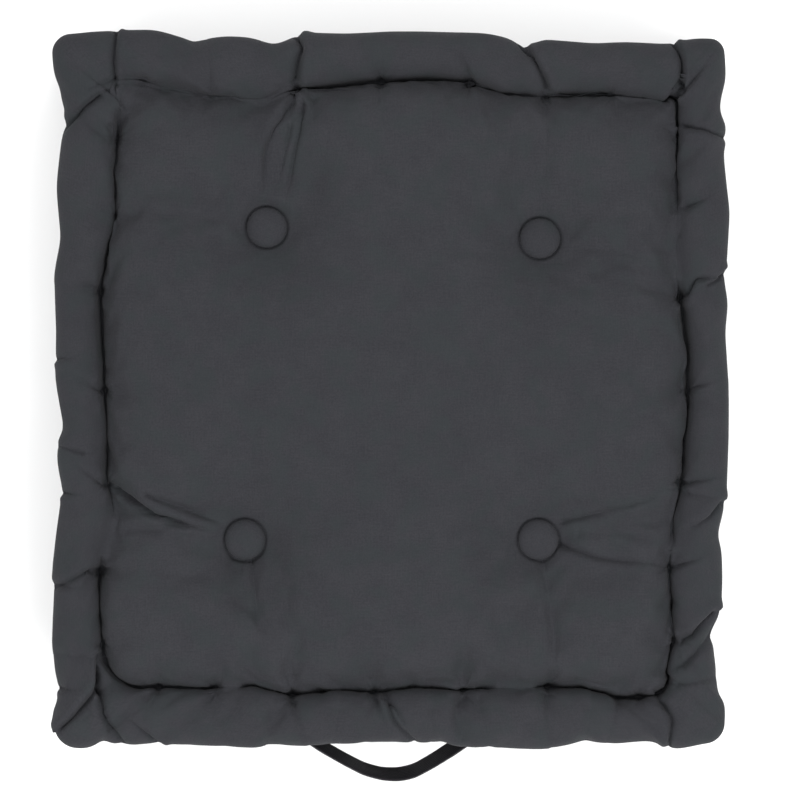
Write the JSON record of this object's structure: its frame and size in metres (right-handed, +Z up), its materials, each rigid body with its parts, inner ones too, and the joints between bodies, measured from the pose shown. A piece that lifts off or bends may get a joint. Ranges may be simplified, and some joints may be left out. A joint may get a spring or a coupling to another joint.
{
  "type": "floor cushion",
  "caption": "Square box-edged floor cushion with rolled stitched edges, button tufts drawn into both faces and a webbing carry handle on one side.",
  "frame": {"origin": "on the floor, under the middle of the cushion", "axes": "+Z up out of the upper panel, -Y towards the side with the handle, +X to the right when facing that side"},
  "size_m": [0.437, 0.4866, 0.1],
  "materials": {
    "cover_cotton": "matte",
    "filling_fibre": "matte",
    "twine": "matte",
    "button_steel": "satin",
    "webbing": "matte"
  },
  "bodies": {
    "cushion": {"border_back": "cover_cotton", "border_front": "cover_cotton", "border_left": "cover_cotton", "border_right": "cover_cotton", "bottom_panel": "cover_cotton", "button_back_bottom_back_left": "button_steel", "button_back_bottom_back_right": "button_steel", "button_back_bottom_front_left": "button_steel", "button_back_bottom_front_right": "button_steel", "button_back_top_back_left": "button_steel", "button_back_top_back_right": "button_steel", "button_back_top_front_left": "button_steel", "button_back_top_front_right": "button_steel", "button_cloth_bottom_back_left": "cover_cotton", "button_cloth_bottom_back_right": "cover_cotton", "button_cloth_bottom_front_left": "cover_cotton", "button_cloth_bottom_front_right": "cover_cotton", "button_cloth_top_back_left": "cover_cotton", "button_cloth_top_back_right": "cover_cotton", "button_cloth_top_front_left": "cover_cotton", "button_cloth_top_front_right": "cover_cotton", "button_shell_bottom_back_left": "button_steel", "button_shell_bottom_back_right": "button_steel", "button_shell_bottom_front_left": "button_steel", "button_shell_bottom_front_right": "button_steel", "button_shell_top_back_left": "button_steel", "button_shell_top_back_right": "button_steel", "button_shell_top_front_left": "button_steel", "button_shell_top_front_right": "button_steel", "filling": "filling_fibre", "handle_end_left": "webbing", "handle_end_right": "webbing", "handle_stitching_left": "twine", "handle_stitching_right": "twine", "roll_twine_bottom": "twine", "roll_twine_top": "twine", "top_panel": "cover_cotton", "tuft_twine_back_left": "twine", "tuft_twine_back_right": "twine", "tuft_twine_front_left": "twine", "tuft_twine_front_right": "twine"},
    "handle": {"handle_loop": "webbing"}
  },
  "joints": [
    {"name": "handle_swing", "type": "hinge", "parent": "cushion", "child": "handle", "pos_m": [0, -0.2225, 0.0485], "axis": [1, 0, 0], "range_deg": [-68, 28]}
  ]
}
